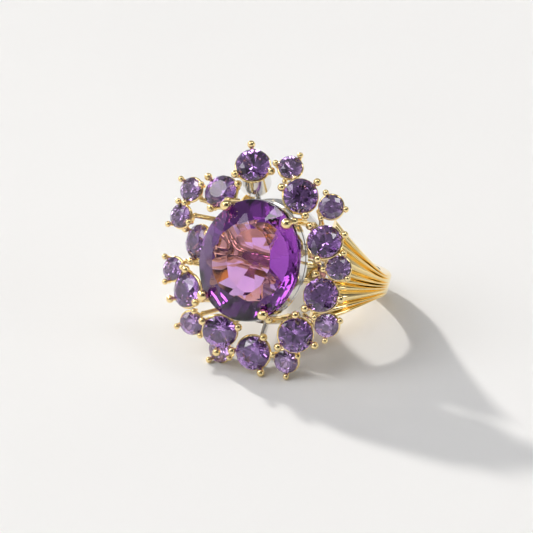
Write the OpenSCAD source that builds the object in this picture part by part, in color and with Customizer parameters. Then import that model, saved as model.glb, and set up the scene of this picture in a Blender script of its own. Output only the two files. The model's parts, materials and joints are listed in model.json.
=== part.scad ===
// Cocktail ring: a large oval stone in a claw basket, inside an irregular star of
// twenty round accent stones, on a fluted shank. It lies on its side, as a ring
// does when it is put down on a table.
//
// Every piece is drawn in the bench frame, as a setter holds the ring: the head
// faces +Z, the finger hole runs along Y, and the origin is the middle of the
// large stone's girdle. rest() then lays the finished piece down, so that the
// ring stands on two prong beads and on the edge of its shank, with Z = 0 below.

/* [Finger hole and shank] */
// Diameter of the finger hole
finger_d = 17.3; // [16:0.1:19]
// Radial thickness of the shank
band_t = 1.5; // [1.2:0.1:2]
// Width of the plain shank at the back
band_w = 3; // [2.4:0.1:4]
// Rounding of the shank's two outer edges
band_round = 0.6; // [0.4:0.05:0.8]
// How far the fluted shoulder runs past its risers, along the finger
shoulder_past = 2.8; // [2.4:0.1:3]
// Angle at which the shoulder begins to widen, from the side towards the head
shoulder_start = -10; // [-20:1:0]
// Angle at which the shoulder ends under the head
shoulder_end = 52; // [46:1:56]
// How late the shoulder flares: 1 is an even flare
shoulder_flare = 1.6; // [1.2:0.1:2]
// Height of a ridge above the floor of the flutes
ridge_h = 0.5; // [0.3:0.05:0.7]
// Share of the shoulder's width that is ridge and not flute
ridge_share = 0.82; // [0.7:0.02:0.9]
// Radius of the four risers that carry the gallery on the shoulders
riser_r = 0.5; // [0.4:0.05:0.6]
// Height of the risers above the shoulders' ends
riser_h = 0.7; // [0.4:0.05:1]

/* [Large oval stone] */
// Length of the oval stone, along the finger
oval_l = 14; // [13.6:0.1:14.2]
// Width of the oval stone, across the finger
oval_w = 12.5; // [12:0.1:12.7]
// Height of the oval stone's crown above the girdle
oval_crown = 1.8; // [1.4:0.1:2.2]
// Depth of the oval stone's pavilion below the girdle
oval_pavilion = 4.6; // [4:0.1:4.7]
// Thickness of the oval stone's girdle
oval_girdle = 0.35; // [0.2:0.05:0.5]
// Gap between the oval stone's point and the shank below it
point_gap = 0.175; // [0.1:0.025:0.8]

/* [Basket and claws] */
// Drop from the girdle's middle to the top of the basket
basket_drop = 0.5; // [0.45:0.05:0.7]
// Height of the basket's wall, rails included
basket_h = 1.9; // [1.6:0.1:2.2]
// Height of the basket's top rail and of its bottom rail
basket_rail_h = 0.4; // [0.3:0.05:0.5]
// How far the basket's top rail stands out past the girdle
basket_lip = 0.1; // [0.1:0.05:0.3]
// Radius of the basket's four feet
foot_r = 0.45; // [0.35:0.05:0.5]
// Radius of the bead on each claw
claw_bead_r = 0.66; // [0.55:0.01:0.75]
// Height of a claw's bead above the girdle
claw_rise = 0.94; // [0.85:0.01:1.1]
// Radius of the claw's wire
claw_wire_r = 0.42; // [0.35:0.01:0.45]
// Radius of the strut that braces a claw on the gallery rail
strut_r = 0.34; // [0.28:0.01:0.36]
// Angle of the claws round the oval, from its short axis
claw_angle = 50; // [46:1:54]

/* [Gallery] */
// How far the middle of the gallery rail lies inside the oval stone's ends
gallery_in = 0.1; // [0:0.05:0.3]
// Width of the gallery rail
gallery_w = 0.8; // [0.6:0.05:1]
// Height of the gallery rail
gallery_h = 0.7; // [0.5:0.05:0.8]
// Radius of the posts that carry the large accents' cups
post_r = 0.35; // [0.3:0.01:0.4]
// Radius of the arms that carry the small accents out from the rail
arm_r = 0.28; // [0.24:0.01:0.3]

/* [Accent stones] */
// Diameter of a large accent stone
large_d = 4; // [3.8:0.05:4.05]
// Diameter of a small accent stone
small_d = 2.8; // [2.6:0.05:2.85]
// Radius of the prong beads on a large accent
large_bead_r = 0.47; // [0.42:0.01:0.5]
// Radius of the prong beads on a small accent
small_bead_r = 0.37; // [0.34:0.01:0.42]
// Radius of a prong's wire
prong_r = 0.24; // [0.2:0.01:0.26]
// Radius of the wire of the ring that a stone is set on
seat_wire_r = 0.2; // [0.16:0.01:0.22]
// Wall of the cups below the accent stones
cup_wall = 0.2; // [0.15:0.01:0.25]

/* [Fits] */
// Gap left between two pieces that are soldered or set together
joint_gap = 0.04; // [0.03:0.01:0.08]

/* [Hidden] */

// Where each accent stone sits, clockwise round the head from the top: [angle,
// distance out from the oval's outline, drop below its girdle, tilt, turn of that
// tilt from straight outward, angle of the first prong, depth of the cup below it,
// radius of the cup's end, turn of its post's or arm's foot along the rail]. The
// lengths are in radii of a large accent. The star is irregular, so its places are
// set by hand.
LARGE = [
    [ 110, 2.10, 1.25, 32, -46,  52, 2.3, 0.95,  10],
    [  68, 1.23, 0.90, 35, -34,  24, 1.1, 0.60,   0],
    [  30, 1.20, 1.10, 27,  35,  89, 1.1, 0.60,   0],
    [ -10, 1.39, 1.10, 21,  66,  67, 1.1, 0.60,   5],
    [ -44, 1.67, 1.10, 31,  40, 110, 1.1, 0.60,   0],
    [ -79, 1.85, 1.50, 17,  47,  99, 1.1, 0.60,   0],
    [-102, 1.18, 0.65, 31,  60,  73, 1.1, 0.60,   0],
    [-144, 1.73, 1.20, 17, -26,  30, 1.1, 0.60,   5],
    [ 181, 1.38, 1.95, 23,  -2,  97, 1.1, 0.60,   5],
    [ 138, 1.50, 1.35, 23, -32,  46, 1.1, 0.60,  -5],
];
SMALL = [
    [  87, 2.20, 1.60, 33, -26,   9, 1.0, 0.35,  -5],
    [  50, 2.11, 1.50, 20, -33, 109, 1.0, 0.35,   0],
    [  11, 1.93, 1.35, 22,  33,  43, 1.0, 0.35,   0],
    [ -25, 2.51, 1.40, 26,  -2,  62, 1.0, 0.35, -15],
    [ -59, 2.62, 1.75, 23,  12,  88, 1.0, 0.35,   0],
    [-102, 2.41, 1.70, 18,   0,  94, 1.0, 0.35,  -5],
    [-125, 2.38, 1.45, 20,  72,  16, 1.0, 0.35,   4],
    [-160, 2.76, 1.80, 12, -26,  86, 1.0, 0.35,   0],
    [ 169, 2.68, 1.35, 10,   2,  58, 1.0, 0.35, -11],
    [ 153, 2.96, 1.35, 12, -18,  17, 1.0, 0.35,  -6],
];
// The small accent that tucks under its neighbour has no room for this prong
TUCKED = 5;
HIDDEN_PRONG = 1;
PRONGS = 3;
prong_step = 360 / PRONGS;
bead_over = 0.05;                 // how far a bead reaches in over the girdle

gold = [0.89, 0.70, 0.33];
white_metal = [0.80, 0.79, 0.77];
deep_violet = [0.36, 0.13, 0.55];
light_violet = [0.47, 0.27, 0.70];

smooth = 96;          // $fn of the large round forms
fine = 32;            // $fn of wires, beads and cups

// Shank
finger_r = finger_d / 2;
band_outer_r = finger_r + band_t;
band_corner_r = band_outer_r - band_round;
band_corner_y = band_w / 2 - band_round;
flute_r = band_outer_r - ridge_h;
RIDGES = [0.9, 0.85, 1.6, 0.95, 0.75, 0.95, 1.6, 0.85, 0.9];    // their relative widths
ridge_unit = 2 / (RIDGES * [for (w = RIDGES) 1]);
shoulder_steps = 14;
shoulder_root = finger_r / 4;     // how deep the shoulder's blank reaches inward

// Large stone: proportions of an oval brilliant
oval_a = oval_l / 2;
oval_b = oval_w / 2;
girdle_half = oval_girdle / 2;
oval_table = 0.6;
head_h = band_outer_r + point_gap + oval_pavilion + girdle_half;

// Basket, as offsets from the girdle's outline
basket_top = -basket_drop;
basket_bottom = basket_top - basket_h;
seat_in = 0.35;                   // the oval stone's pavilion clears this inner edge
flange_in = 1.5;                  // inner edge of the bottom rail
wall_out = 0.02;                  // outer face of the wall between the rails
wall_in = 0.5;                    // inner face of that wall
rail_out = 0.08;                  // outer edge of the bottom rail
foot_x = 0.78 * oval_b;
foot_y = 0.3 * band_w;

// Claws
claw_stand_out = basket_lip + claw_wire_r + 3 * joint_gap;
claw_bead_z = girdle_half + claw_rise;
claw_shoulder_z = claw_wire_r / 3;
claw_leg_z = -2 * claw_wire_r;

// Accent stones: proportions of a round brilliant, as shares of the radius
accent_table = 0.56;
accent_crown = 0.30;
accent_pavilion = 0.86;
accent_girdle = 0.04;             // half thickness
pavilion_lean = atan(accent_pavilion);
seat_gap = 0.02;                  // between a stone's pavilion and its seat ring
large_r = large_d / 2;
small_r = small_d / 2;

// Bridges
bridge_w = large_r / 2;
bridge_h = large_r / 4;
bridge_drop = large_r / 10;

// Gallery
gallery_r = oval_a - gallery_in;
shoulder_top = band_outer_r * sin(shoulder_end) - head_h;
gallery_bottom = shoulder_top + riser_h;
gallery_top = gallery_bottom + gallery_h;
riser_x = band_outer_r * cos(shoulder_end) - riser_r;
riser_y = sqrt(pow(gallery_r, 2) - pow(riser_x, 2));
shoulder_half_w = riser_y + shoulder_past;
gallery_outer_r = gallery_r + gallery_w / 2;
gallery_inner_r = gallery_r - gallery_w / 2;
end_swell = 0.05;                 // a bar's ball end is this much thicker than the bar
post_end_r = post_r + end_swell;
arm_end_r = arm_r + end_swell;
arm_lean = 20;                    // the arms take hold this far outside the seat ring
arm_clear = 32;                   // and at least this far round it from a prong

// ---------------------------------------------------------------- vectors
function unit(v) = v / norm(v);
function turn_z(p, a) = [p.x * cos(a) - p.y * sin(a), p.x * sin(a) + p.y * cos(a), p.z];
function turn_y(p, a) = [p.x * cos(a) + p.z * sin(a), p.y, p.z * cos(a) - p.x * sin(a)];
function turn_x(p, a) = [p.x, p.y * cos(a) - p.z * sin(a), p.y * sin(a) + p.z * cos(a)];

// Distance from the middle of the oval to its outline, at an angle
function oval_reach(angle) =
    1 / norm([cos(angle) / oval_b, sin(angle) / oval_a]);
// Middle of an accent's girdle, before the turn round the head
function accent_place(spec) =
    [oval_reach(spec[0]) + spec[1] * large_r, 0, -spec[2] * large_r];
// A point of an accent's own frame, carried to the bench frame
function accent_point(spec, p) =
    turn_z(turn_z(turn_y(p, spec[3]), spec[4]) + accent_place(spec), spec[0]);

// Middle of prong bead k, in the accent's own frame
function bead_place(spec, r, k) = let (a = spec[5] + k * prong_step)
    [bead_out(r) * cos(a), bead_out(r) * sin(a), bead_up(r)];
function bead_r(r) = r == large_r ? large_bead_r : small_bead_r;
function bead_out(r) = r + bead_r(r) - bead_over;
function bead_up(r) = 0.4 * bead_r(r) / large_bead_r;
// A prong passes the girdle here, and its foot is on the seat ring
function prong_pass(r) = r + 1.1 * prong_r;
function prong_foot_z(r) = seat_z(r) - 0.7 * seat_wire_r;
function prong_foot_out(r) = prong_pass(r)
    + (bead_out(r) - prong_pass(r)) * prong_foot_z(r) / bead_up(r);
// Seat ring: just below the girdle, clear of the pavilion
function seat_out(r) = r - seat_wire_r / 4;
function seat_z(r) = -accent_girdle * r
    - (seat_wire_r * (1 + sin(pavilion_lean) / 4) + seat_gap) / cos(pavilion_lean);

// Cup below an accent stone: [radius, height] at its mouth and at its end
function cup_mouth(r) = [0.82 * r, seat_z(r) - seat_wire_r - joint_gap];
function cup_end(spec) = [spec[7] * large_r, -spec[6] * large_r];

// ---------------------------------------------------------------- rest pose
// The ring rests on one bead of the tucked small accent, on one bead of the large
// accent beside it, and on the rounded edge at the back of the shank.
left_bead = accent_point(SMALL[TUCKED], bead_place(SMALL[TUCKED], small_r, 2));
right_bead = accent_point(LARGE[5], bead_place(LARGE[5], large_r, 2));
back_edge = [0, -band_corner_y, -head_h - band_corner_r];
// Upward normal of the table in the bench frame, improved step by step
function table_normal(n, steps) = steps == 0 ? n :
    let (a = left_bead - small_bead_r * n,
         b = right_bead - large_bead_r * n,
         c = back_edge - band_round * n,
         m = unit(cross(b - a, c - a)))
    table_normal(m.y > 0 ? m : -m, steps - 1);
up = table_normal([0, 0.88, 0.47], 5);
roll = atan2(up.x, up.y);
lean = 90 - asin(up.z);
floor_z = up * left_bead - small_bead_r;
function laid(p) = turn_x(turn_z(p, roll), lean);

// Everything that can reach furthest out, for the middle of the footprint
BEADS = concat(
    [for (s = LARGE) for (k = [0 : PRONGS - 1]) laid(accent_point(s, bead_place(s, large_r, k)))],
    [for (s = SMALL) for (k = [0 : PRONGS - 1]) laid(accent_point(s, bead_place(s, small_r, k)))]
);
side_reach = [for (p = BEADS) p.x];
front_reach = [for (p = BEADS) p.y];
back_reach = laid([0, 0, -head_h]).y
    + band_corner_r * sin(lean) + band_corner_y * cos(lean) + band_round;
mid_x = (max(side_reach) + min(side_reach)) / 2;
mid_y = (min(front_reach) - large_bead_r + back_reach) / 2;

module rest() {
    translate([-mid_x, -mid_y, -floor_z])
        rotate([lean, 0, 0])
            rotate([0, 0, roll])
                children();
}

// Places children, drawn in an accent's own frame with the stone facing +Z
module at_accent(spec) {
    rotate([0, 0, spec[0]])
        translate(accent_place(spec))
            rotate([0, spec[3], spec[4]])
                children();
}

// ---------------------------------------------------------------- small tools
// Round bar with flat ends between two points
module bar(p, q, r) {
    d = q - p;
    flat = norm([d.x, d.y]);
    translate(p)
        rotate([0, atan2(flat, d.z), flat > 0 ? atan2(d.y, d.x) : 0])
            cylinder(h = norm(d), r = r, $fn = fine);
}

// The girdle's outline, moved outward by off
module oval(off) {
    polygon([for (i = [0 : smooth - 1]) let (a = i * 360 / smooth)
        [(oval_b + off) * cos(a), (oval_a + off) * sin(a)]]);
}

module oval_ring(outer, inner, z0, z1) {
    translate([0, 0, z0])
        linear_extrude(z1 - z0)
            difference() {
                oval(outer);
                oval(inner);
            }
}

// A faceted brilliant with half width b along X and half length a along Y. Its
// eight main facets are kites, so the star points and the lower halves follow from
// the planes of the kites.
module brilliant(b, a, table, crown, girdle, pavilion) {
    star = 0.82;
    lower = 0.26;
    kite = cos(22.5);
    star_z = girdle + crown * (1 - star * kite) / (1 - table);
    lower_z = -girdle - pavilion * (1 - lower * kite);
    function ring(n, start, r, z) =
        [for (i = [0 : n - 1]) let (t = start + i * 360 / n) [b * r * cos(t), a * r * sin(t), z]];
    points = concat(
        ring(8, 0, table, girdle + crown),
        ring(8, 22.5, star, star_z),
        ring(16, 0, 1, girdle),
        ring(16, 0, 1, -girdle),
        ring(8, 22.5, lower, lower_z),
        [[0, 0, -girdle - pavilion]]
    );
    function T(k) = k % 8;
    function M(k) = 8 + (k + 8) % 8;
    function U(j) = 16 + j % 16;
    function D(j) = 32 + j % 16;
    function P(k) = 48 + (k + 8) % 8;
    culet = 56;
    faces = concat(
        [[for (k = [7 : -1 : 0]) T(k)]],
        [for (k = [0 : 7]) [T(k + 1), M(k), T(k)]],
        [for (k = [0 : 7]) [M(k), U(2 * k), M(k - 1), T(k)]],
        [for (k = [0 : 7]) [U(2 * k + 1), U(2 * k), M(k)]],
        [for (k = [0 : 7]) [U(2 * k + 2), U(2 * k + 1), M(k)]],
        [for (j = [0 : 15]) [U(j + 1), D(j + 1), D(j), U(j)]],
        [for (k = [0 : 7]) [P(k), D(2 * k), D(2 * k + 1)]],
        [for (k = [0 : 7]) [P(k), D(2 * k + 1), D(2 * k + 2)]],
        [for (k = [0 : 7]) [culet, P(k - 1), D(2 * k), P(k)]]
    );
    polyhedron(points, faces);
}

// ---------------------------------------------------------------- shank
// Half width of the shoulder at an angle from the ring's side towards the head
function flare(angle) =
    let (t = (angle - shoulder_start) / (shoulder_end - shoulder_start))
    band_w / 2 + (shoulder_half_w - band_w / 2) * pow(max(t, 0), shoulder_flare);
function shoulder_angle(i) =
    shoulder_start + i * (shoulder_end - shoulder_start) / shoulder_steps;
function shoulder_z(i) = -head_h + band_outer_r * sin(shoulder_angle(i));

// Side view of the strip between two shares of the half width, drawn through
module shoulder_strip(low, high) {
    up_side = [for (i = [0 : shoulder_steps]) [high * flare(shoulder_angle(i)), shoulder_z(i)]];
    down_side = [for (i = [shoulder_steps : -1 : 0])
        [low * flare(shoulder_angle(i)), shoulder_z(i)]];
    rotate([90, 0, 90])
        linear_extrude(2 * band_outer_r, center = true)
            polygon(concat(up_side, down_side));
}

// Solid round bar on the axis of the finger hole
module finger_rod(r) {
    translate([0, 0, -head_h])
        rotate([90, 0, 0])
            cylinder(h = 3 * shoulder_half_w, r = r, center = true, $fn = smooth);
}

module band_profile() {
    square_t = band_t - band_round;
    translate([finger_r - shoulder_root, -band_w / 2])
        square([square_t + shoulder_root, band_w]);
    translate([finger_r - shoulder_root, -band_corner_y])
        square([band_t + shoulder_root, 2 * band_corner_y]);
    for (side = [-1, 1])
        translate([band_corner_r, side * band_corner_y])
            circle(r = band_round, $fn = fine);
}

module risers() {
    foot = -head_h + flute_r * sin(shoulder_end) - riser_r;
    for (sx = [-1, 1])
        for (sy = [-1, 1])
            translate([sx * riser_x, sy * riser_y, foot])
                cylinder(h = gallery_bottom - joint_gap - foot, r = riser_r, $fn = fine);
}

// Share of the half width, from -1 to 1, at which ridge i begins
function ridge_start(i) = i == 0 ? -1 : ridge_start(i - 1) + RIDGES[i - 1] * ridge_unit;

module shank() {
    color(gold)
        rest()
            difference() {
                union() {
                    translate([0, 0, -head_h])
                        rotate([90, 0, 0])
                            rotate_extrude($fn = smooth) band_profile();
                    intersection() {
                        finger_rod(flute_r);
                        shoulder_strip(-1, 1);
                    }
                    intersection() {
                        finger_rod(band_outer_r);
                        union() {
                            for (i = [0 : len(RIDGES) - 1])
                                let (half_flute = RIDGES[i] * ridge_unit * (1 - ridge_share) / 2)
                                    shoulder_strip(ridge_start(i) + half_flute,
                                                   ridge_start(i + 1) - half_flute);
                        }
                    }
                    risers();
                }
                finger_rod(finger_r);
            }
}

// ---------------------------------------------------------------- gallery
// Ball at the end of a large accent's cup, and the spot on the rail below it
function cup_foot(spec) =
    accent_point(spec, [0, 0, cup_end(spec)[1] - joint_gap - post_end_r]);
function rail_spot(spec, r, z) = let (a = spec[0] + spec[8]) [r * cos(a), r * sin(a), z];

module gallery() {
    color(white_metal)
        rest() {
            difference() {
                translate([0, 0, gallery_bottom])
                    cylinder(h = gallery_h, r = gallery_outer_r, $fn = smooth);
                translate([0, 0, gallery_bottom - 1])
                    cylinder(h = gallery_h + 2, r = gallery_inner_r, $fn = smooth);
            }
            for (spec = LARGE) {
                bar(rail_spot(spec, gallery_r, gallery_top - gallery_h / 3), cup_foot(spec), post_r);
                translate(cup_foot(spec)) sphere(r = post_end_r, $fn = fine);
            }
        }
}

// ---------------------------------------------------------------- basket
module basket() {
    color(white_metal)
        rest() {
            oval_ring(basket_lip, -seat_in, basket_top - basket_rail_h, basket_top);
            oval_ring(wall_out, -wall_in, basket_bottom, basket_top - basket_rail_h);
            oval_ring(rail_out, -flange_in, basket_bottom, basket_bottom + basket_rail_h);
            // Each foot ends just above the round of the shank
            foot_z = -head_h + joint_gap
                + sqrt(pow(band_outer_r, 2) - pow(foot_x - foot_r, 2));
            for (sx = [-1, 1])
                for (sy = [-1, 1])
                    translate([sx * foot_x, sy * foot_y, foot_z])
                        cylinder(h = basket_bottom + basket_rail_h - foot_z, r = foot_r, $fn = fine);
        }
}

// ---------------------------------------------------------------- claws
module claw(sx, sy) {
    girdle = [oval_b * cos(claw_angle), oval_a * sin(claw_angle), 0];
    outward = unit([cos(claw_angle) / oval_b, sin(claw_angle) / oval_a, 0]);
    shoulder = girdle + claw_stand_out * outward;
    function side(p) = [sx * p.x, sy * p.y, p.z];
    bead = side([girdle.x, girdle.y, claw_bead_z]);
    top = side([shoulder.x, shoulder.y, claw_shoulder_z]);
    knee = side([shoulder.x, shoulder.y, claw_leg_z]);
    tip = side([shoulder.x, shoulder.y, basket_bottom]);
    foot = side(gallery_r * unit([shoulder.x, shoulder.y, 0])
        + [0, 0, gallery_top + joint_gap + strut_r + end_swell]);
    color(gold)
        rest() {
            translate(bead) sphere(r = claw_bead_r, $fn = fine);
            bar(bead, top, claw_wire_r - end_swell);
            translate(top) sphere(r = claw_wire_r + end_swell, $fn = fine);
            bar(top, tip, claw_wire_r);
            bar(knee, foot, strut_r);
            translate(foot) sphere(r = strut_r + end_swell, $fn = fine);
        }
}

// ---------------------------------------------------------------- bridges
// A flat bar from the basket's wall to the cup of one large accent
module bridge(spec) {
    inward = 180 - spec[4];
    // Point of the cup's side that faces the head, at a height in the accent's frame
    function side(r, z) = accent_point(spec, [r * cos(inward), r * sin(inward), z]);
    mouth = side(cup_mouth(large_r)[0], cup_mouth(large_r)[1]);
    end_ring = side(cup_end(spec)[0], cup_end(spec)[1]);
    top = mouth.z - bridge_drop;
    low_share = (bridge_drop + bridge_h) / (mouth.z - end_ring.z);
    wall = mouth + low_share * (end_ring - mouth);
    start = oval_reach(spec[0]) + basket_lip + 2 * joint_gap;
    end = min(norm([mouth.x, mouth.y]), norm([wall.x, wall.y])) - 2 * joint_gap;
    color(white_metal)
        rest()
            rotate([0, 0, spec[0]])
                translate([start, -bridge_w / 2, top - bridge_h])
                    cube([end - start, bridge_w, bridge_h]);
}

// ---------------------------------------------------------------- stones
module oval_stone() {
    color(deep_violet)
        rest()
            brilliant(oval_b, oval_a, oval_table, oval_crown, girdle_half, oval_pavilion);
}

module accent_stone(spec, r) {
    color(light_violet)
        rest()
            at_accent(spec)
                brilliant(r, r, accent_table, accent_crown * r, accent_girdle * r,
                          accent_pavilion * r);
}

// ---------------------------------------------------------------- accent settings
module prongs(spec, r, hidden = -1) {
    for (k = [0 : PRONGS - 1])
        if (k != hidden) {
            a = spec[5] + k * prong_step;
            bead = bead_place(spec, r, k);
            foot = [prong_foot_out(r) * cos(a), prong_foot_out(r) * sin(a), prong_foot_z(r)];
            translate(bead) sphere(r = bead_r(r), $fn = fine);
            bar(foot, bead, prong_r);
        }
    translate([0, 0, seat_z(r)])
        rotate_extrude($fn = fine)
            translate([seat_out(r), 0]) circle(r = seat_wire_r, $fn = fine);
}

module large_setting(spec) {
    color(gold)
        rest()
            at_accent(spec)
                prongs(spec, large_r);
}

module small_setting(spec, hidden = -1) {
    color(gold)
        rest()
            at_accent(spec)
                prongs(spec, small_r, hidden);
}

// The arm that carries a small accent out from the gallery rail. It takes hold of
// the seat ring on the side that is nearest the head, but clear of the prongs.
function arm_angle(spec) =
    let (inward = 180 - spec[4],
         prong = spec[5] + prong_step * round((inward - spec[5]) / prong_step),
         past = inward - prong)
    prong + (past < 0 ? -1 : 1) * max(abs(past), arm_clear);

module small_arm(spec) {
    a = arm_angle(spec);
    reach = seat_wire_r + joint_gap + arm_end_r;
    out = seat_out(small_r) + reach * sin(arm_lean);
    start = accent_point(spec, [out * cos(a), out * sin(a),
                                seat_z(small_r) - reach * cos(arm_lean)]);
    foot_out = gallery_outer_r + joint_gap + arm_end_r;
    foot = rail_spot(spec, foot_out, gallery_top - gallery_h / 2);
    bar(start, foot, arm_r);
    translate(start) sphere(r = arm_end_r, $fn = fine);
    translate(foot) sphere(r = arm_end_r, $fn = fine);
}

module small_arms() {
    color(gold)
        rest()
            for (spec = SMALL)
                small_arm(spec);
}

// Tapered cup under an accent stone, open to its pavilion and closed at its end
module cup(spec, r) {
    mouth = cup_mouth(r);
    end = cup_end(spec);
    rotate_extrude($fn = fine)
        polygon([
            [0, end[1]],
            [end[0], end[1]],
            mouth,
            [mouth[0] - cup_wall, mouth[1]],
            [end[0] - cup_wall, end[1] + cup_wall],
            [0, end[1] + cup_wall],
        ]);
}

module cups(specs, r) {
    color(white_metal)
        rest()
            for (spec = specs)
                at_accent(spec) cup(spec, r);
}

// ---------------------------------------------------------------- the ring
shank();
gallery();
basket();
claw(-1, 1);  // claw_1
claw(1, 1);  // claw_2
claw(1, -1);  // claw_3
claw(-1, -1);  // claw_4
bridge(LARGE[1]);  // bridge_1
bridge(LARGE[7]);  // bridge_2
bridge(LARGE[9]);  // bridge_3
oval_stone();
for (i = [1 : len(LARGE)]) {
    large_setting(LARGE[i - 1]);
    accent_stone(LARGE[i - 1], large_r);
}
for (i = [1 : len(SMALL)]) {
    small_setting(SMALL[i - 1], i - 1 == TUCKED ? HIDDEN_PRONG : -1);
    accent_stone(SMALL[i - 1], small_r);
}
small_arms();
cups(LARGE, large_r);  // large_cups
cups(SMALL, small_r);  // small_cups
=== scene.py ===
# %% [markdown]
# # A cocktail ring, lying on its side
#
# The ring is a large oval violet stone in a claw basket, with a star of round
# accent stones round it, on a gold shank whose shoulders are fluted. It lies on a
# white table, so it is seen with its finger hole leaning back.
#
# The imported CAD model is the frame: it says where every stone, bead and wire is.
# This script keeps most of its solids and gives them the finishes of the real ring.
# Three pieces are made again, because their form is finer than the CAD model's: the
# shank, its four risers and the oval stone.

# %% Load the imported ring
import json
import math

import bpy
import numpy as np
from mathutils import Matrix, Vector


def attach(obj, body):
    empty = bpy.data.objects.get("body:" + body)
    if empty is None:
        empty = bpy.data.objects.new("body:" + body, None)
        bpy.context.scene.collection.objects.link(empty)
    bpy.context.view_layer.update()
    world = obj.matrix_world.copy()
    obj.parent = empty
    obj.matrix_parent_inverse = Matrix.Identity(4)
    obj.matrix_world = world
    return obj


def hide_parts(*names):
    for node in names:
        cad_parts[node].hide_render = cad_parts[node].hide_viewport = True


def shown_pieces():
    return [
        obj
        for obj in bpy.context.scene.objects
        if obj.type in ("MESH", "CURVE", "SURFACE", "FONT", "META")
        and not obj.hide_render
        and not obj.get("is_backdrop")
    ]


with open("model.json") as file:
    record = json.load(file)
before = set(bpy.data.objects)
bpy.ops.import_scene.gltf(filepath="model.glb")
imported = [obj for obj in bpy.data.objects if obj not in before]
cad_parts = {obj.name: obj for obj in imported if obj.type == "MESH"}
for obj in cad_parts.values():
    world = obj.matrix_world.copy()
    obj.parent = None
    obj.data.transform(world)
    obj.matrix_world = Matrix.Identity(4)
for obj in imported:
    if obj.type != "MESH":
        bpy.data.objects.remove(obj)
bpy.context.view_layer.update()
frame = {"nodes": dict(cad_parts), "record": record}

nodes = frame["nodes"]
MM = 0.001

# %% [markdown]
# ## What the photograph shows, and where
#
# These are the only pixel coordinates here. The first four are the ring's outer
# edges. The others are the middles of stones and claw beads, and some of them set
# the camera.

# %% Image points
IMAGE_W = 533
IMAGE_H = 533
POINTS = {
    "left edge": (160, None),
    "right edge": (391, None),
    "top edge": (None, 141),
    "bottom edge": (None, 381),
    "oval stone": (248, 260.4),
    "claw bead 1": (227.6, 204),
    "claw bead 2": (284.5, 225.8),
    "claw bead 3": (262.5, 314.7),
    "claw bead 4": (203.5, 293.5),
    "large stone 1": (254.7, 165),
    "large stone 3": (325.2, 243),
    "large stone 5": (294, 337.3),
    "large stone 6": (252, 352.8),
    "large stone 8": (187, 289),
    "small stone 1": (293, 168.4),
    "small stone 2": (332.8, 209.2),
    "small stone 4": (325.6, 327.4),
    "small stone 8": (173.5, 268),
    "small stone 10": (192.5, 188),
}
print("image points:", len(POINTS))

# %% [markdown]
# ## The ring's own axes
#
# A setter thinks in the ring's own directions: across the finger, along the finger
# and out of the head. They could be typed in as numbers, but then they would not
# follow the model. The record's mount gives the axis of the finger hole. The line
# from there to the middle of the oval stone, made square to that axis, points out.

# %% Axes of the ring
HEAD_HEIGHT = 15.1 * MM       # from the finger hole's axis to the oval stone's girdle
hole_mount = frame["record"]["mounts"][0]
hole = np.array(hole_mount["pos_m"])


def corners(obj):
    """The vertices of a mesh object as an (n, 3) array, in metres."""
    flat = np.empty(3 * len(obj.data.vertices))
    obj.data.vertices.foreach_get("co", flat)
    return flat.reshape(-1, 3)


def unit(v):
    """v divided by its own length."""
    return v / np.linalg.norm(v)


along = unit(np.array(hole_mount["axis"]))
to_stone = (corners(nodes["oval_stone"]) - hole).mean(axis=0)
out = unit(to_stone - along * (to_stone @ along))
across = np.cross(along, out)
head = hole + HEAD_HEIGHT * out
print("along", along.round(3), "out", out.round(3), "across", across.round(3))

# %% [markdown]
# ## The camera
#
# The photograph was taken from well away, so the ring shows little perspective. A
# camera can be placed by eye in the viewport, but named angles are easier to correct
# afterwards. It looks down at the ring from the front right. Its aim, and not its
# lens shift, brings the oval stone to its place in the picture.

# %% Camera
CAMERA_AZIMUTH = math.radians(30.5)
CAMERA_HEIGHT = math.radians(29.1)
CAMERA_ROLL = math.radians(-3.4)
CAMERA_DISTANCE = 0.4
SENSOR = 36.0
LENS = 236.0
NEAREST = 0.01
FURTHEST = 10.0
# Where the head lies from the middle of the view
HEAD_RIGHT = -2.0377 * MM
HEAD_UP = 0.7212 * MM


def camera_axes(azimuth, height, roll):
    """Right, up and back of a camera as rows.

    Back points from the ring to the camera: azimuth turns it from the front (-Y)
    towards +X, and height lifts it. Roll then turns right and up about back.
    """
    back = np.array([
        math.sin(azimuth) * math.cos(height),
        -math.cos(azimuth) * math.cos(height),
        math.sin(height),
    ])
    level = np.array([math.cos(azimuth), math.sin(azimuth), 0.0])
    lift = np.cross(back, level)
    right = math.cos(roll) * level + math.sin(roll) * lift
    up = math.cos(roll) * lift - math.sin(roll) * level
    return np.array([right, up, back])


axes = camera_axes(CAMERA_AZIMUTH, CAMERA_HEIGHT, CAMERA_ROLL)
eye = head - HEAD_RIGHT * axes[0] - HEAD_UP * axes[1] + CAMERA_DISTANCE * axes[2]

camera_data = bpy.data.cameras.new("Camera")
camera_data.sensor_fit = "AUTO"
camera_data.sensor_width = SENSOR
camera_data.lens = LENS
camera_data.clip_start = NEAREST
camera_data.clip_end = FURTHEST
camera = bpy.data.objects.new("Camera", camera_data)
bpy.context.scene.collection.objects.link(camera)
placing = np.eye(4)
placing[:3, :3] = axes.T
placing[:3, 3] = eye
camera.matrix_world = Matrix(placing.tolist())
bpy.context.scene.camera = camera
print("camera at", eye.round(4))

# %% Where a place shows in the picture
pixels_per_slope = LENS / SENSOR * IMAGE_W


def to_image(points):
    """Pixel x, y of points: slope in the camera's axes times lens over sensor width."""
    seen = (np.asarray(points) - eye) @ axes.T
    shrink = pixels_per_slope / -seen[:, 2]
    return np.column_stack([IMAGE_W / 2 + seen[:, 0] * shrink, IMAGE_H / 2 - seen[:, 1] * shrink])


print("the head shows at", to_image(head[None])[0].round(1))

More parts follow.
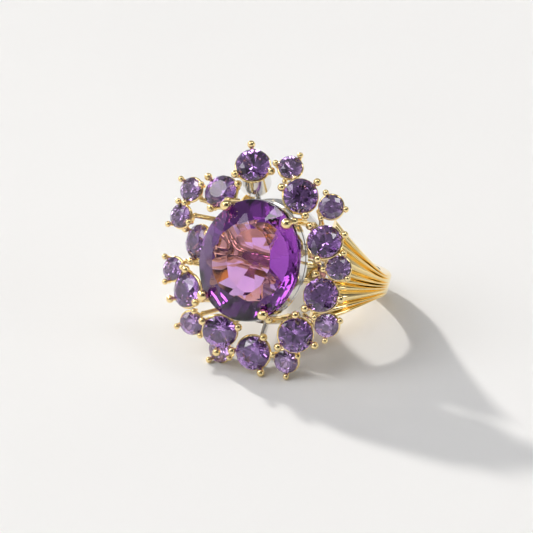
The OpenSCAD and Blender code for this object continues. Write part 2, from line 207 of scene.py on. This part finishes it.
# %% [markdown]
# ## Table and sun
#
# The ring lies on a plain pale table, and low, warm sun from behind and to the left
# throws its shadow to the front right. The table could be a curved backdrop, but the
# photograph looks down, so one flat square is enough. The sun is a sun lamp a few
# degrees wide, which gives the shadow a slightly soft edge.

# %% Table
TABLE_SIZE = 4.0
SHARP_FROM = math.radians(42)


def mesh_object(name, points, faces, smooth=True):
    """A new mesh object at the origin from arrays of points and faces.

    A smooth one keeps a crisp edge wherever two faces meet at more than SHARP_FROM.
    """
    mesh = bpy.data.meshes.new(name)
    mesh.from_pydata(np.asarray(points).tolist(), [], [list(map(int, f)) for f in faces])
    mesh.polygons.foreach_set("use_smooth", np.full(len(mesh.polygons), smooth))
    if smooth:
        mesh.set_sharp_from_angle(angle=SHARP_FROM)
    mesh.update()
    obj = bpy.data.objects.new(name, mesh)
    bpy.context.scene.collection.objects.link(obj)
    return obj


half = TABLE_SIZE / 2
table_top = mesh_object(
    "Table",
    [(-half, -half, 0), (half, -half, 0), (half, half, 0), (-half, half, 0)],
    [(0, 1, 2, 3)],
    smooth=False,
)
table_top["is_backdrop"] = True
print("table side in metres:", TABLE_SIZE)

# %% Sun
SUN_FROM = unit(np.array([-0.83, 0.307, 0.467]))
SUN_STRENGTH = 2.3
SUN_ANGLE = math.radians(4.0)
SUN_COLOUR = (1.0, 0.97, 0.92)
sun_data = bpy.data.lights.new("Low sun", "SUN")
sun_data.energy = SUN_STRENGTH
sun_data.angle = SUN_ANGLE
sun_data.color = SUN_COLOUR
sun = bpy.data.objects.new("Low sun", sun_data)
sun.rotation_euler = Vector(SUN_FROM.tolist()).to_track_quat("Z", "Y").to_euler()
bpy.context.scene.collection.objects.link(sun)
bpy.context.scene.view_settings.view_transform = "Standard"
print("sun height in degrees:", round(math.degrees(math.asin(SUN_FROM[2])), 1))

# %% [markdown]
# ## Sky
#
# Polished metal and clear stones show whatever stands round them, so the sky needs
# shapes in it and not one even colour. A picture of a studio would do, but a few
# nodes are enough. The grey is pale near the horizon and dark overhead, and brighter
# on the sun's side. Five bright windows put sparks on beads and facets, and a broad
# dark patch stands for the photographer. Their directions are worked out once,
# from where the photograph was taken, and stay fixed in the room when another view
# moves the camera.

# %% What the sky is made of
# Grey by height above the horizon: 0 is level and 1 straight up
SKY_GREYS = {0.0: 0.85, 0.2: 0.70, 0.4: 0.35, 0.6: 0.22, 0.8: 0.25, 1.0: 0.35}
SKY_BLUE = 1.02
SUN_SIDE = unit(SUN_FROM * [1, 1, 0])
SIDE_DIM = 0.45
SIDE_BRIGHT = 1.25
# Each patch: direction, where its edge starts and ends, squeeze along Z, grey
PATCHES = [
    (unit(axes[2] - 1.5 * axes[0] + 1.4 * axes[1]), 0.28, 0.33, 0.8, 3.0),
    (unit(axes[2] + 1.1 * axes[0] + 2.0 * axes[1]), 0.14, 0.17, 0.8, 5.0),
    (unit(axes[2] - 0.1 * axes[0] + 1.6 * axes[1]), 0.09, 0.11, 0.8, 7.0),
    (unit(axes[2] - 1.0 * axes[0] + 0.5 * axes[1]), 0.06, 0.08, 0.8, 6.0),
    (unit(axes[2] + 1.5 * axes[0] + 0.3 * axes[1]), 0.06, 0.08, 0.8, 6.0),
    (unit(axes[2] + 0.53 * axes[0]), 0.26, 0.44, 0.4, 0.03),
]
world = bpy.data.worlds.new("Soft sky")
bpy.context.scene.world = world
world.use_nodes = True
sky = world.node_tree
sky.nodes.clear()
sky_out = sky.nodes.new("ShaderNodeOutputWorld")
sky_light = sky.nodes.new("ShaderNodeBackground")
facing = sky.nodes.new("ShaderNodeTexCoord").outputs["Generated"]
sky_parts = sky.nodes.new("ShaderNodeSeparateXYZ")
sky_ramp = sky.nodes.new("ShaderNodeValToRGB")
ramp = sky_ramp.color_ramp
ramp.elements.remove(ramp.elements[1])
ramp.elements[0].position = 0.0
for height, grey in SKY_GREYS.items():
    stop = ramp.elements[0] if height == 0 else ramp.elements.new(height)
    stop.color = (grey, grey, SKY_BLUE * grey, 1)
sky.links.new(facing, sky_parts.inputs[0])
sky.links.new(sky_parts.outputs["Z"], sky_ramp.inputs[0])
print("greys from level to overhead:", list(SKY_GREYS.values()), "patches:", len(PATCHES))

# %% Join the sky together
def sky_math(operation, value, source):
    """A vector node of the sky that combines source with a constant vector."""
    node = sky.nodes.new("ShaderNodeVectorMath")
    node.operation = operation
    if value is not None:
        node.inputs[1].default_value = value
    sky.links.new(source, node.inputs[0])
    return node


def sky_range(source, low, high, to_low, to_high, kind):
    """source mapped from the range low to high onto to_low to to_high."""
    node = sky.nodes.new("ShaderNodeMapRange")
    node.interpolation_type = kind
    for label, number in zip(("From Min", "From Max", "To Min", "To Max"), (low, high, to_low, to_high)):
        node.inputs[label].default_value = number
    sky.links.new(source, node.inputs["Value"])
    return node.outputs[0]


def sky_patch(colour, toward, inner, outer, tall, grey):
    """colour with a soft-edged patch of grey in the direction toward.

    Its shape is the length of the view direction less toward, with Z times tall.
    """
    offset = sky_math("SUBTRACT", toward.tolist(), facing)
    squeezed = sky_math("MULTIPLY", (1.0, 1.0, tall), offset.outputs[0])
    how_far = sky_math("LENGTH", None, squeezed.outputs[0]).outputs["Value"]
    patch = sky.nodes.new("ShaderNodeMix")
    patch.data_type = "RGBA"
    patch.inputs["A"].default_value = (grey, grey, grey, 1)
    sky.links.new(sky_range(how_far, inner, outer, 0.0, 1.0, "SMOOTHSTEP"), patch.inputs["Factor"])
    sky.links.new(colour, patch.inputs["B"])
    return patch.outputs["Result"]


toward_sun = sky_math("DOT_PRODUCT", SUN_SIDE.tolist(), facing).outputs["Value"]
sided = sky.nodes.new("ShaderNodeVectorMath")
sided.operation = "SCALE"
sky.links.new(sky_ramp.outputs[0], sided.inputs[0])
sky.links.new(sky_range(toward_sun, -1.0, 1.0, SIDE_DIM, SIDE_BRIGHT, "LINEAR"), sided.inputs["Scale"])
sky_colour = sided.outputs[0]
for patch in PATCHES:
    sky_colour = sky_patch(sky_colour, *patch)
sky.links.new(sky_colour, sky_light.inputs["Color"])
sky.links.new(sky_light.outputs[0], sky_out.inputs[0])
print("nodes in the sky:", len(sky.nodes))

# %% [markdown]
# ## Finishes
#
# Polished plate is never quite even: it has faint wiping marks that change its
# gloss. The stones are clear and coloured right through, so a thin edge is pale lilac
# and a long way through is deep violet. A violet glass surface would be simpler, but
# it colours light once at each wall, however thick the stone is. So the glass is nearly
# clear, with the soft colour zones of a real crystal, and the volume inside it takes
# up light with depth. The marks and the zones are node groups, which each material
# places with its own values.

# %% Start a node group
def new_group(name, inputs, outputs):
    """An empty shader group with float inputs {name: value} and outputs {name: type}."""
    group = bpy.data.node_groups.new(name, "ShaderNodeTree")
    for label, value in inputs.items():
        socket = group.interface.new_socket(label, in_out="INPUT", socket_type="NodeSocketFloat")
        socket.default_value = value
    for label, kind in outputs.items():
        group.interface.new_socket(label, in_out="OUTPUT", socket_type=kind)
    group.nodes.new("NodeGroupInput")
    group.nodes.new("NodeGroupOutput")
    return group


def new_material(name):
    """A node material and its Principled BSDF."""
    material = bpy.data.materials.new(name)
    material.use_nodes = True
    return material, material.node_tree.nodes["Principled BSDF"]


print("node groups so far:", len(bpy.data.node_groups))

# %% Wiping marks of polished plate
FINER = 4.0                   # how much finer the relief is than the clouds of gloss


def polish_group():
    """Roughness = base + spread * soft noise, and a fine height for the Bump node."""
    group = new_group(
        "Polished plate",
        {"Scale": 900.0, "Gloss": 0.1, "Spread": 0.1},
        {"Roughness": "NodeSocketFloat", "Height": "NodeSocketFloat"},
    )
    ins = group.nodes["Group Input"]
    outs = group.nodes["Group Output"]
    where = group.nodes.new("ShaderNodeTexCoord")
    cloud = group.nodes.new("ShaderNodeTexNoise")
    fine = group.nodes.new("ShaderNodeTexNoise")
    spread = group.nodes.new("ShaderNodeMath")
    total = group.nodes.new("ShaderNodeMath")
    finer = group.nodes.new("ShaderNodeMath")
    spread.operation = "MULTIPLY"
    total.operation = "ADD"
    finer.operation = "MULTIPLY"
    finer.inputs[1].default_value = FINER
    cloud.inputs["Detail"].default_value = 3.0
    fine.inputs["Detail"].default_value = 2.0
    link = group.links.new
    link(where.outputs["Object"], cloud.inputs["Vector"])
    link(where.outputs["Object"], fine.inputs["Vector"])
    link(ins.outputs["Scale"], cloud.inputs["Scale"])
    link(ins.outputs["Scale"], finer.inputs[0])
    link(finer.outputs[0], fine.inputs["Scale"])
    link(cloud.outputs["Fac"], spread.inputs[0])
    link(ins.outputs["Spread"], spread.inputs[1])
    link(spread.outputs[0], total.inputs[0])
    link(ins.outputs["Gloss"], total.inputs[1])
    link(total.outputs[0], outs.inputs["Roughness"])
    link(fine.outputs["Fac"], outs.inputs["Height"])
    return group


POLISH = polish_group()
print("group:", POLISH.name, "with", len(POLISH.nodes), "nodes")

# %% Colour zones of a crystal
def zoning_group():
    """A mask from 0 to 1 in soft parallel bands, as colour zones lie in a crystal."""
    group = new_group(
        "Colour zones",
        {"Scale": 160.0},
        {"Mask": "NodeSocketFloat"},
    )
    ins = group.nodes["Group Input"]
    outs = group.nodes["Group Output"]
    where = group.nodes.new("ShaderNodeTexCoord")
    zones = group.nodes.new("ShaderNodeTexWave")
    zones.inputs["Distortion"].default_value = 2.0
    zones.inputs["Detail"].default_value = 1.0
    link = group.links.new
    link(where.outputs["Object"], zones.inputs["Vector"])
    link(ins.outputs["Scale"], zones.inputs["Scale"])
    link(zones.outputs["Fac"], outs.inputs["Mask"])
    return group


ZONES = zoning_group()
print("group:", ZONES.name, "with", len(ZONES.nodes), "nodes")

# %% Polished metal
POLISH_SCALE = 700.0
RELIEF_DEPTH = 0.02 * MM
# Dark and light colour, least roughness, its spread, and strength of the relief
GOLD_PLATE = ((1.0, 0.74, 0.33), (1.0, 0.85, 0.47), 0.05, 0.08, 0.08)
WHITE_PLATE = ((0.74, 0.73, 0.72), (0.88, 0.87, 0.86), 0.05, 0.08, 0.08)


def metal(name, dark, light, gloss, spread, bump):
    """A polished metal: its colour drifts between dark and light over soft noise."""
    material, shader = new_material(name)
    tree = material.node_tree
    polish = tree.nodes.new("ShaderNodeGroup")
    polish.node_tree = POLISH
    polish.inputs["Scale"].default_value = POLISH_SCALE
    polish.inputs["Gloss"].default_value = gloss
    polish.inputs["Spread"].default_value = spread
    tint = tree.nodes.new("ShaderNodeMix")
    tint.data_type = "RGBA"
    tint.inputs["A"].default_value = (*dark, 1)
    tint.inputs["B"].default_value = (*light, 1)
    relief = tree.nodes.new("ShaderNodeBump")
    relief.inputs["Strength"].default_value = bump
    relief.inputs["Distance"].default_value = RELIEF_DEPTH
    tree.links.new(polish.outputs["Height"], tint.inputs["Factor"])
    tree.links.new(tint.outputs["Result"], shader.inputs["Base Color"])
    tree.links.new(polish.outputs["Roughness"], shader.inputs["Roughness"])
    tree.links.new(polish.outputs["Height"], relief.inputs["Height"])
    tree.links.new(relief.outputs["Normal"], shader.inputs["Normal"])
    shader.inputs["Metallic"].default_value = 1.0
    return material


GOLD = metal("Yellow gold plate", *GOLD_PLATE)
WHITE_METAL = metal("Rhodium plate", *WHITE_PLATE)
print("metals:", GOLD.name, "and", WHITE_METAL.name)

# %% Clear violet stone
# Colour zones from pale to paler, index of refraction, what light keeps, density
OVAL_GLASS = ((0.93, 0.88, 0.96), (0.98, 0.95, 0.99), 1.545, (0.60, 0.02, 0.74), 175.0)
ACCENT_GLASS = ((0.95, 0.91, 0.98), (0.99, 0.97, 1.0), 1.9, (0.56, 0.10, 0.80), 270.0)


def gem(name, pale, paler, ior, let_through, density):
    """A clear stone that colours light by how far it travels inside.

    Light left after L metres = exp(-density * (1 - let_through) * L), for each colour.
    The glass itself is nearly clear, and its tint lies in zones from pale to paler.
    """
    material, shader = new_material(name)
    tree = material.node_tree
    zones = tree.nodes.new("ShaderNodeGroup")
    zones.node_tree = ZONES
    tint = tree.nodes.new("ShaderNodeMix")
    tint.data_type = "RGBA"
    tint.inputs["A"].default_value = (*pale, 1)
    tint.inputs["B"].default_value = (*paler, 1)
    tree.links.new(zones.outputs["Mask"], tint.inputs["Factor"])
    tree.links.new(tint.outputs["Result"], shader.inputs["Base Color"])
    shader.inputs["Transmission Weight"].default_value = 1.0
    shader.inputs["Roughness"].default_value = 0.0
    shader.inputs["IOR"].default_value = ior
    depth = tree.nodes.new("ShaderNodeVolumeAbsorption")
    depth.inputs["Color"].default_value = (*let_through, 1)
    depth.inputs["Density"].default_value = density
    surface_out = tree.nodes["Material Output"]
    tree.links.new(depth.outputs["Volume"], surface_out.inputs["Volume"])
    return material


OVAL_GEM = gem("Deep violet stone", *OVAL_GLASS)
ACCENT_GEM = gem("Violet accent stone", *ACCENT_GLASS)
print("stones:", OVAL_GEM.name, "and", ACCENT_GEM.name)

# %% White table
TABLE_WHITES = ((0.86, 0.855, 0.85), (0.9, 0.895, 0.89))
TABLE_CLOUDS = 20.0
TABLE_ROUGHNESS = 0.7


def table_finish():
    """A plain white table with a barely visible cloudiness."""
    material, shader = new_material("White table")
    tree = material.node_tree
    where = tree.nodes.new("ShaderNodeTexCoord")
    cloud = tree.nodes.new("ShaderNodeTexNoise")
    cloud.inputs["Scale"].default_value = TABLE_CLOUDS
    tint = tree.nodes.new("ShaderNodeMix")
    tint.data_type = "RGBA"
    tint.inputs["A"].default_value = (*TABLE_WHITES[0], 1)
    tint.inputs["B"].default_value = (*TABLE_WHITES[1], 1)
    tree.links.new(where.outputs["Object"], cloud.inputs["Vector"])
    tree.links.new(cloud.outputs["Fac"], tint.inputs["Factor"])
    tree.links.new(tint.outputs["Result"], shader.inputs["Base Color"])
    shader.inputs["Roughness"].default_value = TABLE_ROUGHNESS
    return material


table_top.data.materials.append(table_finish())
print("table:", table_top.data.materials[0].name)

# %% [markdown]
# ## Dress the CAD pieces
#
# Beads, wires, cups, rails and accent stones are right as the CAD model makes them, so
# they are kept, and each takes the finish of its slot in the record. Smoothing them
# would blur the facets of the stones, so their shading stays as it comes.

# %% Finish of each node
SLOT_FINISH = {
    "gold": GOLD,
    "white_metal": WHITE_METAL,
    "oval_gem": OVAL_GEM,
    "accent_gem": ACCENT_GEM,
}
node_slot = {part["node"]: part["material_slot"] for part in frame["record"]["subparts"]}
for name, obj in nodes.items():
    obj.data.materials.clear()
    obj.data.materials.append(SLOT_FINISH[node_slot[name]])
print("nodes by finish:", {slot: list(node_slot.values()).count(slot) for slot in SLOT_FINISH})

# %% [markdown]
# ## The oval stone, cut facet by facet
#
# A cutter grinds one flat facet after another: each has a place round the stone and a
# slope, and the stone is what all the cuts leave. The corners could be typed in or
# pulled about in edit mode, but cutting with planes is the safest way, because every
# facet is then truly flat, and clear stone shows at once where one isn't. The pavilion
# has a steep tier below the girdle, which throws light back, and a shallow tier round
# the point, through which the photograph looks down on the shank.

# %% Cut a stone from planes
PARALLEL = 1e-6               # three planes with a smaller determinant don't meet
JUST_OUTSIDE = 1e-7
ON_PLANE = 1e-5
DECIMALS = 6
SLANT = np.array([0.3, 0.5, 0.8])   # a direction that no facet faces squarely


def around(count, start=0.0):
    """Angles of count facets spread evenly round a stone from start degrees, in radians."""
    return math.radians(start) + np.arange(count) * 2 * np.pi / count


def cuts(angles, upper, lower):
    """Planes of one tier as rows [a, b, c, d], for a x + b y + c z <= d.

    Each goes through two points of the stone's side view, upper and lower, given as
    (share of the half width, height): share = slope * height + share at height 0.
    """
    slope = (upper[0] - lower[0]) / (upper[1] - lower[1])
    base = lower[0] - slope * lower[1]
    ones = np.ones_like(angles)
    return np.column_stack([np.cos(angles), np.sin(angles), -slope * ones, base * ones])


def cut_stone(planes):
    """Corners and facets of the solid that is inside all planes.

    A corner is where three planes meet and no other plane cuts it off. A facet is the
    corners that lie on its plane, in order round their middle.
    """
    i, j, k = np.array(np.meshgrid(*[np.arange(len(planes))] * 3, indexing="ij")).reshape(3, -1)
    once = (i < j) & (j < k)
    triples = np.column_stack([i[once], j[once], k[once]])
    normals = planes[triples, :3]
    proper = np.abs(np.linalg.det(normals)) > PARALLEL
    met = np.linalg.solve(normals[proper], planes[triples[proper], 3][..., None])[..., 0]
    inside = (met @ planes[:, :3].T <= planes[:, 3] + JUST_OUTSIDE).all(axis=1)
    points = np.unique(met[inside].round(DECIMALS), axis=0)
    facets = []
    for plane in planes:
        on = np.flatnonzero(np.abs(points @ plane[:3] - plane[3]) < ON_PLANE)
        if len(on) < 3:
            continue
        normal = unit(plane[:3])
        side = unit(np.cross(normal, SLANT))
        spokes = points[on] - points[on].mean(axis=0)
        order = np.argsort(np.arctan2(spokes @ np.cross(normal, side), spokes @ side))
        facets.append(on[order])
    return points, facets


print("eight facets stand at", np.degrees(around(8)).round(1), "degrees")

# %% Make the oval stone
OVAL_HALF_W = 6.25
OVAL_HALF_L = 7.0
GIRDLE_HALF = 0.175
CROWN_TOP = GIRDLE_HALF + 1.8
TIER_SHARE = 0.53
TIER_DEPTH = -GIRDLE_HALF - 2.74
POINT = -GIRDLE_HALF - 3.6
# Side view of each tier: two points as (share of the half width, height in mm)
MAIN_FACETS = ((0.6, CROWN_TOP), (1.0, GIRDLE_HALF))
STAR_FACETS = ((0.585, CROWN_TOP), (0.83, CROWN_TOP - 0.9))
UPPER_GIRDLE_FACETS = ((0.82, CROWN_TOP - 0.95), (0.995, GIRDLE_HALF))
GIRDLE = ((1.0, GIRDLE_HALF), (1.0, -GIRDLE_HALF))
STEEP_TIER = ((0.995, -GIRDLE_HALF), (TIER_SHARE, TIER_DEPTH))
SHALLOW_TIER = ((TIER_SHARE, TIER_DEPTH), (0.0, POINT))
oval_planes = np.vstack([
    [[0, 0, 1, CROWN_TOP]],
    cuts(around(12), *MAIN_FACETS),
    cuts(around(12, 15), *STAR_FACETS),
    cuts(around(24, 7.5), *UPPER_GIRDLE_FACETS),
    cuts(around(48, 3.75), *GIRDLE),
    cuts(around(16, 11.25), *STEEP_TIER),
    cuts(around(8), *SHALLOW_TIER),
])


def bench(points):
    """Points across, along and out from the middle of the oval's girdle, in mm, to the frame."""
    return head + MM * (points @ np.array([across, along, out]))


round_points, oval_facets = cut_stone(oval_planes)
oval_points = round_points * [OVAL_HALF_W, OVAL_HALF_L, 1.0]
oval_cut = mesh_object("oval_cut_stone", bench(oval_points), oval_facets, smooth=False)
oval_cut.data.materials.append(OVAL_GEM)
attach(oval_cut, "root")
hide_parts("oval_stone")
print("oval stone: facets", len(oval_facets), "corners", len(oval_points))

# %% [markdown]
# ## The fluted shank
#
# The real shank is one casting. At the back it is a plain rounded band, and towards
# the head it flares into two shoulders with nine ridges that fan out. The CAD solid
# has the ridges as plain steps. Ridges could be carved into a copy of it, but its mesh
# is loose triangles, and a shape that is worked out stays even. So the shank is a closed
# tube: one parameter runs round the hoop and the other round its cross-section. Outer
# radius = band radius, less the rounding of the edges, less the flutes, which deepen
# as the shoulder widens. Under the oval stone the band slims, because the photograph
# shows only a narrow bar of it through the stone.

# %% Shank dimensions
HOLE_R = 8.65
BAND_T = 1.5
BAND_OUT = HOLE_R + BAND_T
BAND_HALF_W = 1.5
TOP_HALF_W = 0.8
SKIN = 0.02                   # how far the new surface lies inside the CAD solid's
SHOULDER_HALF_W = 6.616
SHOULDER_FLARE = 1.6
FLUTE_DEPTH = 0.5
FLUTE_SHARPNESS = 2.2
EDGE_ROUND = 0.55
RIDGE_WIDTHS = np.array([0.9, 0.85, 1.6, 0.95, 0.75, 0.95, 1.6, 0.85, 0.9])
# Angles from the hoop's side towards the head, in degrees
SHOULDER_START = -10.0
SHOULDER_END = 52.0
SHOULDER_STEP = 0.4
SLIM_START = 64
SLIM_TURN = 8
FLUTE_START = -27.0
FLUTE_FULL = 12.0
# Steps of the grid: plain back, shoulder, below the stone, each ridge, inner face
BACK_STEPS = 60
SHOULDER_STEPS = 90
TOP_STEPS = 24
STEPS_PER_RIDGE = 14
INNER_STEPS = 13
print("hoop in mm: inner radius", HOLE_R, "outer radius", BAND_OUT, "ridges", len(RIDGE_WIDTHS))

# %% Width of the shank round the hoop
def smooth_step(x):
    """0 below 0, 1 above 1, and 3x^2 - 2x^3 between."""
    x = np.clip(x, 0.0, 1.0)
    return x * x * (3 - 2 * x)


def shank_half_width(side):
    """Half width at an angle from the hoop's side towards the head, in degrees.

    Half width = the plain band's, plus a flare that grows as a power of the way along
    the shoulder. Past the shoulder's end it is the band's again, and slims smoothly
    below the stone.
    """
    t = np.clip((side - SHOULDER_START) / (SHOULDER_END - SHOULDER_START), 0, 1)
    flared = BAND_HALF_W + (SHOULDER_HALF_W - BAND_HALF_W) * t ** SHOULDER_FLARE
    slim = BAND_HALF_W - (BAND_HALF_W - TOP_HALF_W) * smooth_step((side - SLIM_START) / SLIM_TURN)
    return np.where(side > SHOULDER_END, slim, flared)


print("half width in mm at 0, 30 and 90 degrees:", shank_half_width(np.array([0, 30, 90])).round(2))

# %% Make the shank
def in_frame(x, y, z):
    """Points given across, along and out from the middle of the finger hole, in mm."""
    return hole + MM * (
        np.multiply.outer(x, across) + np.multiply.outer(y, along) + np.multiply.outer(z, out)
    )


def ridge_places():
    """Places across the outer face from -1 to 1, and each place within its ridge.

    The edges between ridges are the running sum of the ridges' widths. Steps inside
    each ridge run from -1 at one edge to 1 at the other.
    """
    edges = np.concatenate([[0], np.cumsum(RIDGE_WIDTHS)])
    edges = 2 * edges / edges[-1] - 1
    inside = np.linspace(0, 1, STEPS_PER_RIDGE, endpoint=False)
    places = (edges[:-1, None] + np.diff(edges)[:, None] * inside).ravel()
    within = np.tile(2 * inside - 1, len(RIDGE_WIDTHS))
    return np.append(places, 1.0), np.append(within, 1.0)


def make_shank():
    """The hoop as a closed grid: angle round the hoop by place round the section.

    Rounding = EDGE_ROUND * (1 - sqrt(1 - over^2)), where over grows from 0 to 1 over the
    last EDGE_ROUND of the width. Flute = depth * |place within the ridge| to a power.
    """
    head_part = np.concatenate([
        np.linspace(-90, SHOULDER_START, BACK_STEPS, endpoint=False),
        np.linspace(SHOULDER_START, SHOULDER_END, SHOULDER_STEPS),
        np.linspace(SHOULDER_END + SHOULDER_STEP, 90, TOP_STEPS),
    ])
    turn = np.concatenate([head_part, 180 - head_part[-2:0:-1]])
    side = np.where(turn > 90, 180 - turn, turn)
    half_w = shank_half_width(side)[:, None]
    places, within = ridge_places()
    y_outer = half_w * places
    over = np.clip((np.abs(y_outer) - (half_w - EDGE_ROUND)) / EDGE_ROUND, 0, 1)
    edge_drop = EDGE_ROUND * (1 - np.sqrt(1 - over ** 2))
    depth = FLUTE_DEPTH * smooth_step((side - FLUTE_START) / (FLUTE_FULL - FLUTE_START))
    depth = np.where(side > SHOULDER_END, 0.0, depth)
    flute = depth[:, None] * np.abs(within) ** FLUTE_SHARPNESS
    r_outer = BAND_OUT - SKIN - edge_drop - flute * (1 - over)
    y_inner = half_w * np.linspace(1, -1, INNER_STEPS)
    r_inner = np.full_like(y_inner, HOLE_R)
    y = np.hstack([y_outer, y_inner])
    r = np.hstack([r_outer, r_inner])
    a = np.radians(turn)[:, None]
    points = in_frame(r * np.cos(a), y, r * np.sin(a)).reshape(-1, 3)
    rows, columns = r.shape
    i, j = np.meshgrid(np.arange(rows), np.arange(columns), indexing="ij")
    next_i = (i + 1) % rows
    next_j = (j + 1) % columns
    faces = np.stack([
        i * columns + j,
        i * columns + next_j,
        next_i * columns + next_j,
        next_i * columns + j,
    ], axis=-1).reshape(-1, 4)
    return mesh_object("fluted_shank", points, faces)


shank = make_shank()
shank.data.materials.append(GOLD)
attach(shank, "root")
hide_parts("shank")
print("shank faces:", len(shank.data.polygons))

# %% [markdown]
# ## The risers
#
# Four short gold pins grow out of the ends of the shoulders and carry the gallery rail
# of the head. A plain cylinder would have their size but not their waist, and four
# spun curves would need their own modifiers. So a small profile, slimmer in the middle,
# is carried round each pin's own axis, and the four pins are one mesh.

# %% Turn the four risers
RISER_ACROSS = 5.749
RISER_ALONG = 3.816
RISER_SIDES = 24
# Radius and height above the finger hole's axis, in mm, from a riser's foot to its top
RISER_PROFILE = np.array([
    [0.5, 7.10], [0.5, 7.6], [0.46, 7.9], [0.43, 8.1],
    [0.43, 8.25], [0.46, 8.45], [0.5, 8.55], [0.5, 8.658],
])


def make_risers():
    """Each profile point (radius, height) carried round: x = r cos a, y = r sin a."""
    turn = around(RISER_SIDES)
    radius, height = RISER_PROFILE.T
    x = np.multiply.outer(radius, np.cos(turn)).ravel()
    y = np.multiply.outer(radius, np.sin(turn)).ravel()
    z = np.repeat(height, RISER_SIDES)
    i, j = np.meshgrid(np.arange(len(radius) - 1), np.arange(RISER_SIDES), indexing="ij")
    next_j = (j + 1) % RISER_SIDES
    wall = np.stack([
        i * RISER_SIDES + j,
        i * RISER_SIDES + next_j,
        (i + 1) * RISER_SIDES + next_j,
        (i + 1) * RISER_SIDES + j,
    ], axis=-1).reshape(-1, 4)
    first = np.arange(RISER_SIDES)
    caps = [first[::-1].tolist(), (first + len(x) - RISER_SIDES).tolist()]
    points = []
    faces = []
    for side in (-1, 1):
        for end in (-1, 1):
            start = len(points) * len(x)
            points.append(in_frame(x + side * RISER_ACROSS, y + end * RISER_ALONG, z))
            faces += (wall + start).tolist() + [[start + c for c in cap] for cap in caps]
    return mesh_object("shank_risers", np.vstack(points), faces)


risers = make_risers()
risers.data.materials.append(GOLD)
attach(risers, "root")
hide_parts("shank")
print("riser faces:", len(risers.data.polygons))

# %% [markdown]
# ## How true the picture is
#
# A picture can be compared by eye, but numbers show a small slip sooner. Each finished
# thing is projected with the same camera, and how far it shows from its image point,
# in x and y, is written down.

# %% Measure against the image points
BEAD_REACH = 1.2 * MM


def middle_in_image(obj):
    """Middle of the box that an object's vertices fill in the picture."""
    places = to_image(corners(obj))
    return (places.min(axis=0) + places.max(axis=0)) / 2


def claw_bead(name):
    """Middle of a claw's bead: the mean of its vertices that stand furthest out."""
    places = corners(nodes[name])
    rise = (places - head) @ out
    return to_image(places[rise > rise.max() - BEAD_REACH]).mean(axis=0)


shown = np.vstack([to_image(corners(o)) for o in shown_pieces() if o.type == "MESH"])
found = {
    "left edge": (shown[:, 0].min(), None),
    "right edge": (shown[:, 0].max(), None),
    "top edge": (None, shown[:, 1].min()),
    "bottom edge": (None, shown[:, 1].max()),
    "oval stone": to_image(head[None])[0],
}
for name in POINTS:
    words = name.split()
    if words[0] == "claw":
        found[name] = claw_bead("claw_" + words[-1])
    if words[1] == "stone" and len(words) == 3:
        found[name] = middle_in_image(nodes[words[0] + "_stone_" + words[-1]])
misses = {
    name: [None if w is None else round(float(f) - w, 1) for f, w in zip(found[name], want)]
    for name, want in POINTS.items()
}
for name, miss in misses.items():
    print(name, miss)
